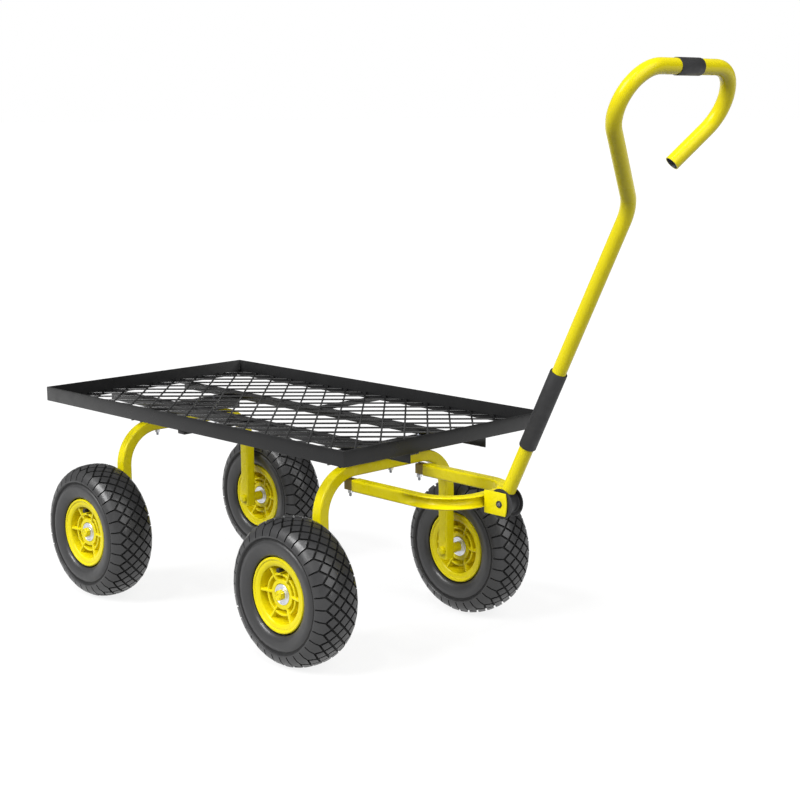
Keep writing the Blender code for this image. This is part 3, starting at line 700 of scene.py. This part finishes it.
def tyre_mesh():
    """A closed tyre with diamond tread blocks, slit shoulders and smooth side walls."""
    tyre = TyreGrid()
    for row in range(-TREAD_ROWS + 1, TREAD_ROWS):
        for around in range(tyre.around):
            if (around + row) % 2 == 1:
                add_diamond(tyre, around, row)
    start = SIDE_GROOVE[-1][0]
    last = tyre.table[0][-1]
    rows = list(SIDE_GROOVE)
    rows += [(start + (last - start) * step / WALL_ROWS, 0.0) for step in range(1, WALL_ROWS + 1)]
    for side in (1, -1):
        for around in tyre.columns():
            add_shoulder(tyre, around, side)
            add_side_wall(tyre, around, side, rows)
    add_tyre_bore(tyre, last)
    mesh = to_mesh("tyre_shape", tyre.mesh, 28)
    mesh.materials.append(TYRE_RUBBER)
    # Material 1 is the darker rubber that paints the shade in the grooves and beside the flanges.
    mesh.materials.append(GROOVE_SHADE_RUBBER)
    return mesh


# -------------------------------- rim, bearing, valve


def rim_mesh():
    """Moulded rim: hub, web with a raised ring, barrel, flanges and radial ribs, the same on both faces."""
    face = [(0.0174, 0.0256), (0.0180, 0.0262), (0.0238, 0.0262), (0.0245, 0.0256), (0.0250, 0.0150),
            (0.0258, 0.0142), (0.0298, 0.0142), (0.0305, 0.0150), (0.0308, 0.0262), (0.0316, 0.0272),
            (0.0340, 0.0272), (0.0348, 0.0262), (0.0353, 0.0120), (0.0361, 0.0110), (0.0440, 0.0105),
            (0.0450, 0.0115), (0.0462, 0.0300), (0.0468, 0.0318), (0.0480, 0.0328), (0.0548, 0.0340),
            (0.0560, 0.0338), (0.0570, 0.0349), (0.0588, 0.0354), (0.0603, 0.0350), (0.0615, 0.0336),
            (0.0614, 0.0322), (0.0602, 0.0312), (0.0535, 0.0306)]
    grid = bmesh.new()
    turn_into(grid, with_mirror(face), RIM_SEGMENTS, ring=True)
    for side in (1, -1):
        for angle in circle_angles(RIB_COUNT):
            add_rib(grid, angle + math.pi / 2, side)
    return to_mesh("rim_shape", grid, 30)


def add_rib(grid, angle, side):
    """A drafted radial rib with a rounded top edge, from the hub to the barrel."""
    foot = 0.0100
    stations = ((0.0242, 0.0268), (0.0300, 0.0282), (0.0380, 0.0294), (0.0440, 0.0304), (0.0466, 0.0308))
    half = RIB_THICK / 2
    across = ((-half * 1.25, 0.0), (-half, 0.90), (-half * 0.6, 0.985), (0.0, 1.0), (half * 0.6, 0.985),
              (half, 0.90), (half * 1.25, 0.0))
    outward = Vector(on_circle(1, 0, angle))
    sideways = Vector((math.cos(angle), 0, math.sin(angle)))
    rings = []
    for radius, top in stations:
        rings.append([outward * radius + sideways * a + Vector((0, side * (foot + (top - foot) * b), 0))
                      for a, b in across])
    bridge_capped(grid, rings)


def bearing_mesh():
    """A ball bearing's face: outer race, recessed grooved shield and inner race, on both ends."""
    bore = SPINDLE_RADIUS + RUNNING_GAP
    # Radius and how far the face is sunk there
    sunk = [(bore, 0.0005), (bore + 0.0005, 0.0), (0.0090, 0.0), (0.0093, 0.0003), (0.0096, 0.0009),
            (0.0112, 0.0009), (0.0115, 0.0005), (0.0121, 0.0005), (0.0124, 0.0009), (0.0138, 0.0009),
            (0.0142, 0.0003), (0.0145, 0.0), (0.0164, 0.0), (0.0169, 0.0005)]
    face = [(radius, BEARING_HALF_WIDTH - depth) for radius, depth in sunk]
    return turned_mesh("bearing_shape", with_mirror(face), ROUND, ring=True, sharp_angle=30)


def valve_mesh():
    """A bent rubber valve: out of the barrel towards the hub, then outwards with a ribbed cap."""
    grid = bmesh.new()
    corners = [(0, 0, VALVE_ROOT), (0, 0, VALVE_LEVEL), (0, VALVE_BACK, VALVE_LEVEL)]
    path = rounded_path(corners, (VALVE_RADIUS,), 8)
    sweep_into(grid, path, (1, 0, 0), round_section(VALVE_RADIUS, 20), round_section(VALVE_RADIUS * 0.5, 20))
    cap = [(0.0033, 0.0), (0.0038, 0.0005), (0.0038, 0.0022), (0.0035, 0.0024), (0.0038, 0.0027),
           (0.0038, 0.0044), (0.0035, 0.0046), (0.0038, 0.0049), (0.0038, 0.0064), (0.0030, 0.0072)]
    foot = Vector((0, VALVE_BACK * 0.9, VALVE_LEVEL))
    bridge_capped(grid, [[foot + Vector(on_circle(radius, along, angle)) for angle in circle_angles(24)]
                         for radius, along in cap])
    return to_mesh("valve_shape", grid)


def facing_out(centre, side):
    """A placing that turns local +Y away from the trolley's middle."""
    return Matrix.Translation(centre) @ Matrix.Rotation(0 if side > 0 else math.pi, 4, "Z")


def build_wheels():
    """Dress all four wheels with shared shapes."""
    tyre = tyre_mesh()
    rim = rim_mesh()
    bearing = bearing_mesh()
    valve = valve_mesh()
    for axle in AXLES:
        for side_word, side in SIDES:
            tail = "_%s_%s" % (axle, side_word)
            body = "wheel" + tail
            centre = Matrix.Translation(middle("tyre" + tail))
            add_piece("treaded_tyre" + tail, tyre, TYRE_RUBBER, body, ("tyre" + tail,),
                      centre)
            add_piece("ribbed_rim" + tail, rim, RIM_PLASTIC, body, ("rim" + tail,),
                      centre)
            for word in ("outer", "inner"):
                node = "bearing_%s%s" % (word, tail)
                place = Matrix.Translation(middle(node))
                add_piece("ball_" + node, bearing, ZINC, body, (node,), place)
            place = facing_out(middle("tyre" + tail) + Vector((0, side * VALVE_PLACE, 0)), side)
            add_piece("rubber_valve" + tail, valve, VALVE_RUBBER, body, ("valve" + tail,),
                      place)
            build_spindle(tail, side)


def outward_span(node):
    """How far a node starts and ends from the trolley's middle, along Y."""
    low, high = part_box(node)
    return sorted((abs(low.y), abs(high.y)))


def build_spindle(tail, side):
    """Spindle with its head inside the leg, its spacer sleeve and its outboard nut."""
    centre = middle("spindle" + tail)
    place = facing_out((centre.x, 0, centre.z), side)

    inner, outer = outward_span("spindle" + tail)
    seat = inner + SPINDLE_HEAD
    shank = [(SPINDLE_RADIUS, seat), (SPINDLE_RADIUS, outer - 0.0008), (SPINDLE_RADIUS - 0.0008, outer),
             (0.0022, outer), (0.0012, outer - 0.0010)]
    add_yellow("spindle_shank" + tail, turned_mesh("spindle_shank", shank, 32), (), place)
    # The head is made facing out and turned round, so that its dome faces the trolley's middle.
    dome = 0.0012
    head = hex_mesh("spindle_head", SPINDLE_HEAD_HALF, -(seat - RUNNING_GAP), -(inner + dome), dome=dome)
    add_yellow("spindle_head" + tail, head, ("spindle" + tail,), place @ Matrix.Rotation(math.pi, 4, "Z"))
    start, end = outward_span("spacer" + tail)
    bore = SPINDLE_RADIUS + RUNNING_GAP
    soft = SPACER_RADIUS - 0.0005
    profile = [(bore, start), (soft, start), (SPACER_RADIUS, start + 0.0004), (SPACER_RADIUS, end - 0.0004),
               (soft, end), (bore, end)]
    sleeve = turned_mesh("spacer_sleeve", profile, 36, ring=True)
    add_yellow("spacer_sleeve" + tail, sleeve, ("spacer" + tail,), place)
    start, end = outward_span("spindle_nut" + tail)
    nut = hex_mesh("wheel_nut", WHEEL_NUT_HALF, start, end, bore=SPINDLE_RADIUS)
    add_yellow("wheel_nut" + tail, nut, ("spindle_nut" + tail,), place)


# -------------------------------- frame


def tube_walls(flats=4):
    """Outer and inner section of the square tube."""
    return (square_section(TUBE / 2, TUBE_CORNER, flats),
            square_section(TUBE / 2 - TUBE_WALL, TUBE_CORNER - TUBE_WALL * 0.8, flats))


def build_axle_tubes():
    """Bent square tubes with rounded corners."""
    for axle in AXLES:
        node = "axle_tube_" + axle
        low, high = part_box(node)
        x = (low.x + high.x) / 2
        leg = high.y - TUBE / 2
        top = high.z - TUBE / 2
        corners = [(x, -leg, low.z), (x, -leg, top), (x, leg, top), (x, leg, low.z)]
        path = rounded_path(corners, (LEG_BEND_RADIUS, LEG_BEND_RADIUS), 20)
        grid = bmesh.new()
        sweep_into(grid, path, (1, 0, 0), *tube_walls())
        add_yellow("bent_" + node, to_mesh(node, grid), (node,))


def bow_path(corners):
    """The bow's centre line, with its straight stretches cut into short slices."""
    bends = rounded_path(corners, (BOW_BEND_RADIUS, BOW_BEND_RADIUS), 24)
    path = [bends[0]]
    for first, second in zip(bends, bends[1:]):
        gap = (second - first).length
        count = round(gap / BOW_STEP) if gap > 5 * BOW_STEP else 1
        path += [first.lerp(second, step / count) for step in range(1, count + 1)]
    return path


def build_bow():
    """The steering bow, whose outer wall is pressed in around its bends, and its narrow rear ends, coated brown as
    painted shade under the front axle tube.
    """
    low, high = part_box("fork_bow")
    z = (low.z + high.z) / 2
    side = high.y - TUBE / 2
    front = high.x - TUBE / 2
    cut = low.x + TONGUE_END
    path = bow_path([(cut, -side, z), (front, -side, z), (front, side, z), (cut, side, z)])
    start = front - BOW_BEND_RADIUS - PRESS_LEAD
    flat = TUBE / 2 - TUBE_CORNER * 0.6

    def pressed(section, index):
        reach = min(max((path[index].x - start) / PRESS_RAMP, 0), 1)
        amount = BOW_PRESS * reach * reach * (3 - 2 * reach)
        moved = []
        for a, b in section:
            height = abs(b) / flat
            if a < -PRESS_WALL and height < 1:
                moved.append((a + amount * (1 - height ** 2), b))
            else:
                moved.append((a, b))
        return moved

    grid = bmesh.new()
    sweep_into(grid, path, (0, 0, 1), *tube_walls(flats=12), shape=pressed)
    add_yellow("pressed_bow", to_mesh("pressed_bow", grid), ("fork_bow",))
    for word, sign in SIDES:
        grid = bmesh.new()
        tongue = [Vector((low.x + TONGUE_START, sign * side, z)), Vector((cut + TUBE, sign * side, z))]
        sweep_into(grid, tongue, (0, 0, 1), square_section(TONGUE / 2, TUBE_CORNER / 2),
                   square_section(TONGUE / 2 - TUBE_WALL, TUBE_CORNER / 4))
        # The narrow ends take the brown coat, painted shade from the front axle tube above them.
        add_piece("arm_tongue_" + word, to_mesh("arm_tongue", grid), PAINTED_SHADE_BROWN, "trolley")


def wire_into(grid, start, end, radius):
    """A straight round wire with slightly rounded ends."""
    along = (end - start).normalized()
    side = along.cross(Vector((0, 0, 1))).normalized()
    up = side.cross(along)
    tip = along * radius * 0.4
    rings = []
    for base, share in ((start, 0.6), (start + tip, 1.0), (end - tip, 1.0), (end, 0.6)):
        rings.append([base + side * a + up * b for a, b in round_section(radius * share, WIRE_SIDES)])
    bridge_capped(grid, rings)


def build_deck_mesh():
    """Two layers of diagonal round wires, sunk into each other where they are welded."""
    low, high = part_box("deck_mesh")
    centre = (low + high) / 2
    half_x = (high.x - low.x) / 2
    half_y = (high.y - low.y) / 2
    cell = 2 * half_x / WIRE_CELLS
    reach = int((half_x + half_y) / cell) + 2
    grid = bmesh.new()
    for slope, phase in zip((-1, 1), WIRE_PHASE):
        for index in range(-reach, reach + 1):
            shift = (index + phase) * cell
            if shift - half_y > half_x - WIRE or shift + half_y < -half_x + WIRE:
                continue
            # The wire is the line y = slope * (x - shift), cut off at the rim's walls.
            ends = sorted((max(-half_x, shift - half_y), min(half_x, shift + half_y)))
            points = [centre + Vector((x, slope * (x - shift), -slope * WIRE_LIFT)) for x in ends]
            if (points[1] - points[0]).length > 3 * WIRE:
                wire_into(grid, points[0], points[1], WIRE / 2)
    add_piece("wire_deck", to_mesh("wire_deck", grid, 50), WIRE_PAINT, "trolley",
              ("deck_mesh",))


def build_plain_steel():
    """Softened versions of the rim, rails, struts, cross members and bracket."""
    bevelled_copy("tray_frame", "deck_rim", 0.0007)
    for word, _ in SIDES:
        bevelled_copy("rail_" + word, "deck_rail_" + word, 0.0006)
        bevelled_copy("side_strut_" + word, "deck_strut_" + word, 0.0008)
    for word in AXLES:
        bevelled_copy("cross_member_" + word, "channel_" + word, 0.0005)
    bevelled_copy("hinge_bracket", "folded_bracket", 0.0007, YELLOW_PAINT, segments=3)


def standing(x, y):
    """A placing that turns local +Y upwards at a place on the ground."""
    return Matrix.Translation((x, y, 0)) @ Matrix.Rotation(math.pi / 2, 4, "X")


def screw_shank(end, top):
    """Profile of a screw's shank with its chamfered tip."""
    return [(SCREW_RADIUS - SCREW_POINT, end), (SCREW_RADIUS, end + SCREW_POINT), (SCREW_RADIUS, top)]


def build_deck_bolts():
    """Four machine screws with domed heads and chamfered nuts, and the tip and nut of a middle one."""
    bore = SCREW_RADIUS + 0.0001
    for axle in AXLES:
        for side_word, _ in SIDES:
            tail = "_%s_%s" % (axle, side_word)
            low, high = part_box("deck_bolt" + tail)
            place = standing((low.x + high.x) / 2, (low.y + high.y) / 2)
            seat = high.z - SCREW_HEAD_HEIGHT
            head = [(SCREW_HEAD, seat), (SCREW_HEAD, seat + 0.0020), (0.0038, seat + 0.0034),
                    (0.0020, high.z)]
            screw = turned_mesh("screw", screw_shank(low.z - SCREW_MORE, seat) + head, 24)
            add_fastener("screw" + tail, screw, DARK_STEEL, ("deck_bolt" + tail,), place)
            low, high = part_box("deck_nut" + tail)
            nut = hex_mesh("screw_nut", NUT_HALF, low.z, high.z, bore)
            add_fastener("screw_nut" + tail, nut, ZINC, ("deck_nut" + tail,), place)
    low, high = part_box("axle_tube_front")
    place = standing((low.x + high.x) / 2, CENTRE_SCREW_Y)
    top = high.z - TUBE
    foot = top - CENTRE_NUT
    tip = turned_mesh("centre_screw", screw_shank(foot - SCREW_TIP, top) + [(0.0010, top)], 24)
    add_fastener("centre_screw", tip, DARK_STEEL, (), place)
    add_fastener("centre_nut", hex_mesh("centre_nut", NUT_HALF, foot, top, bore), ZINC, (), place)


# -------------------------------- handle


def hinge_point():
    """The hinge's place in the world."""
    return Vector(next(joint for joint in frame["joints"] if joint["name"] == "handle_hinge")["pos_m"])


def handle_point(along, across):
    """World position of a point in the handle's own plane."""
    lean = Vector((math.sin(HANDLE_LEAN), 0, math.cos(HANDLE_LEAN)))
    back = Vector((-math.cos(HANDLE_LEAN), 0, math.sin(HANDLE_LEAN)))
    return hinge_point() + back * SHAFT_SETBACK + lean * along + Vector((0, across, 0))


def lying_along(start, end):
    """A placing that puts local Y on the line from start to end."""
    turn = Vector((0, 1, 0)).rotation_difference((end - start).normalized())
    return Matrix.Translation(start) @ turn.to_matrix().to_4x4()


def add_sleeve(name, start, end, thick):
    """Add a sleeve with rounded rims around a straight stretch of the handle's tube."""
    length = (end - start).length
    bore = HANDLE_RADIUS + SLEEVE_GAP
    outer = bore + thick
    soft = thick * 0.6
    edge = [(bore, 0.0), (outer - soft, 0.0), (outer - soft * 0.3, soft * 0.3), (outer, soft)]
    profile = edge + [(radius, length - along) for radius, along in reversed(edge)]
    mesh = turned_mesh(name, profile, 40, ring=True)
    add_piece(name, mesh, SLEEVE, "handle", (name + "_sleeve",), lying_along(start, end))


def build_handle():
    """Smooth bent pull tube with its two sleeves."""
    corner_y = (LOOP_TOP - SHAFT_BEND) * math.tan(LOOP_ANGLE)
    tip_y = corner_y - (LOOP_TOP - LOOP_TIP) * math.tan(LOOP_ANGLE)
    corners = [handle_point(SHAFT_START, 0), handle_point(SHAFT_BEND, 0),
               handle_point(LOOP_TOP, LOOP_SHIFT - corner_y), handle_point(LOOP_TOP, LOOP_SHIFT + corner_y),
               handle_point(LOOP_TIP, LOOP_SHIFT + tip_y)]
    path = rounded_path(corners, (SHAFT_BEND_RADIUS, LOOP_RADIUS, LOOP_RADIUS), 24)
    normal = (math.cos(HANDLE_LEAN), 0, -math.sin(HANDLE_LEAN))
    outer = round_section(HANDLE_RADIUS, 36)
    inner = round_section(HANDLE_RADIUS - HANDLE_WALL, 36)
    grid = bmesh.new()
    sweep_into(grid, path, normal, outer, inner, lining=1)
    mesh = to_mesh("bent_handle", grid, 40)
    mesh.materials.append(YELLOW_PAINT)
    mesh.materials.append(DARK_STEEL)
    add_piece("bent_handle", mesh, YELLOW_PAINT, "handle", ("handle_tube",))
    add_sleeve("bumper", handle_point(BUMPER_START, 0), handle_point(BUMPER_END, 0), SLEEVE_THICK)
    add_sleeve("grip", handle_point(LOOP_TOP, GRIP_Y - GRIP_LENGTH / 2),
               handle_point(LOOP_TOP, GRIP_Y + GRIP_LENGTH / 2), GRIP_THICK)


def build_knuckle():
    """Moulded knuckle with rounded discs, and its spigot inside the tube."""
    low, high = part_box("handle_knuckle")
    outside = (high.y - low.y) / 2
    inside = outside - DISC_THICK
    soft = 0.0008
    face = [(0.0044, outside), (0.0080, outside), (0.0086, outside - 0.0004), (0.0180, outside - 0.0004),
            (0.0186, outside)]
    edge = [(DISC_RADIUS - soft, outside), (DISC_RADIUS - soft * 0.3, outside - soft * 0.3),
            (DISC_RADIUS, outside - soft), (DISC_RADIUS, inside + soft),
            (DISC_RADIUS - soft * 0.3, inside + soft * 0.3), (DISC_RADIUS - soft, inside)]
    half = face + edge + [(CORE_RADIUS + 0.0010, inside), (CORE_RADIUS, inside - 0.0010)]
    mesh = turned_mesh("moulded_knuckle", with_mirror(half), 72, ring=True, sharp_angle=30)
    add_piece("moulded_knuckle", mesh, MOULDED_BLACK, "handle", ("handle_knuckle",),
              Matrix.Translation(hinge_point()))
    start = handle_point(CORE_RADIUS * 0.8, 0)
    end = handle_point(SHAFT_START + SPIGOT_REACH, 0)
    radius = HANDLE_RADIUS - HANDLE_WALL - SPIGOT_GAP
    spigot = turned_mesh("spigot", [(radius, 0), (radius, (end - start).length)], 32)
    add_piece("knuckle_spigot", spigot, MOULDED_BLACK, "handle", (),
              lying_along(start, end))


def build_pivot():
    """The pivot bolt with its recessed head, its washer and its nut."""
    place = Matrix.Translation(hinge_point())
    low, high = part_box("hinge_bolt")
    seat = low.y + PIVOT_HEAD
    bolt = [(0.0012, seat - 0.0012), (0.0016, seat - 0.0018), (0.0026, seat - 0.0018),
            (0.0032, seat - 0.0012), (0.0035, seat), (PIVOT_RADIUS, seat), (PIVOT_RADIUS, high.y - 0.0006),
            (PIVOT_RADIUS - 0.0006, high.y)]
    add_fastener("pivot_bolt", turned_mesh("pivot_bolt", bolt, 36), DARK_STEEL, ("hinge_bolt",), place)
    washer = [(0.0036, seat - 0.0014), (0.0048, seat - 0.0014), (0.0054, seat - 0.0008), (0.0056, seat),
              (0.0036, seat)]
    add_piece("pivot_washer", turned_mesh("pivot_washer", washer, 36, ring=True), MOULDED_BLACK,
              "trolley", (), place)
    low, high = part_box("hinge_nut")
    nut = hex_mesh("pivot_nut", PIVOT_NUT_HALF, low.y, high.y, PIVOT_RADIUS + 0.0001)
    add_fastener("pivot_nut", nut, ZINC, ("hinge_nut",), place)


# -------------------------------- stage


def light_world(world):
    """A studio that is bright on one side and dim on the other, in front of a plain white backdrop."""
    tree = world.node_tree
    lit = tree.nodes["Background"]
    lit.inputs["Color"].default_value = WHITE
    place = tree.nodes.new("ShaderNodeTexCoord")
    side = tree.nodes.new("ShaderNodeVectorMath")
    side.operation = "DOT_PRODUCT"
    side.inputs[1].default_value = Vector(BRIGHT_SIDE).normalized()
    tree.links.new(place.outputs["Generated"], side.inputs[0])
    strength = spread_node(tree, side.outputs["Value"], (-0.6, 0.9, WORLD_DIM, WORLD_BRIGHT))
    tree.links.new(strength, lit.inputs["Strength"])
    seen = tree.nodes.new("ShaderNodeBackground")
    seen.inputs["Color"].default_value = WHITE
    seen.inputs["Strength"].default_value = 1.0
    path = tree.nodes.new("ShaderNodeLightPath")
    mix = tree.nodes.new("ShaderNodeMixShader")
    tree.links.new(path.outputs["Is Camera Ray"], mix.inputs["Fac"])
    tree.links.new(lit.outputs["Background"], mix.inputs[1])
    tree.links.new(seen.outputs["Background"], mix.inputs[2])
    tree.links.new(mix.outputs["Shader"], tree.nodes["World Output"].inputs["Surface"])


def build_stage():
    """Pale floor, soft studio light and the camera."""
    scene = bpy.context.scene
    grid = bmesh.new()
    bmesh.ops.create_grid(grid, x_segments=1, y_segments=1, size=FLOOR_SIZE / 2)
    floor_mesh = bpy.data.meshes.new("floor")
    grid.to_mesh(floor_mesh)
    grid.free()
    floor_mesh.materials.append(make_floor_material())
    floor = bpy.data.objects.new("floor", floor_mesh)
    scene.collection.objects.link(floor)
    floor.visible_diffuse = False

    scene.view_settings.view_transform = "Standard"
    scene.view_settings.look = "None"
    world = bpy.data.worlds.new("studio")
    world.use_nodes = True
    light_world(world)
    scene.world = world

    for name, source, power, width in LAMPS:
        light = bpy.data.lights.new(name, "SUN")
        light.energy = power
        light.angle = math.radians(width)
        lamp = bpy.data.objects.new(name, light)
        lamp.rotation_euler = (-Vector(source)).to_track_quat("-Z", "Y").to_euler()
        scene.collection.objects.link(lamp)

    data = bpy.data.cameras.new("camera")
    data.lens = CAMERA_LENS
    data.sensor_width = 36.0
    data.clip_end = 200.0
    camera = bpy.data.objects.new("camera", data)
    turn = (Matrix.Rotation(math.radians(CAMERA_YAW), 4, "Z")
            @ Matrix.Rotation(math.radians(90 - CAMERA_PITCH), 4, "X")
            @ Matrix.Rotation(math.radians(CAMERA_ROLL), 4, "Z"))
    camera.matrix_world = Matrix.Translation(CAMERA_PLACE) @ turn
    scene.collection.objects.link(camera)
    scene.camera = camera


def dress_remaining_nodes():
    """Give every CAD node that still shows its slot's finished material."""
    slots = {part["node"]: part["material_slot"] for part in frame["record"]["subparts"]}
    for name, node in frame["nodes"].items():
        if not node.hide_render:
            look = LOOKS[slots[name]]
            node.data.materials.clear()
            node.data.materials.append(look)


build_stage()
build_wheels()
build_axle_tubes()
build_bow()
build_plain_steel()
build_deck_mesh()
build_deck_bolts()
build_handle()
build_knuckle()
build_pivot()
dress_remaining_nodes()
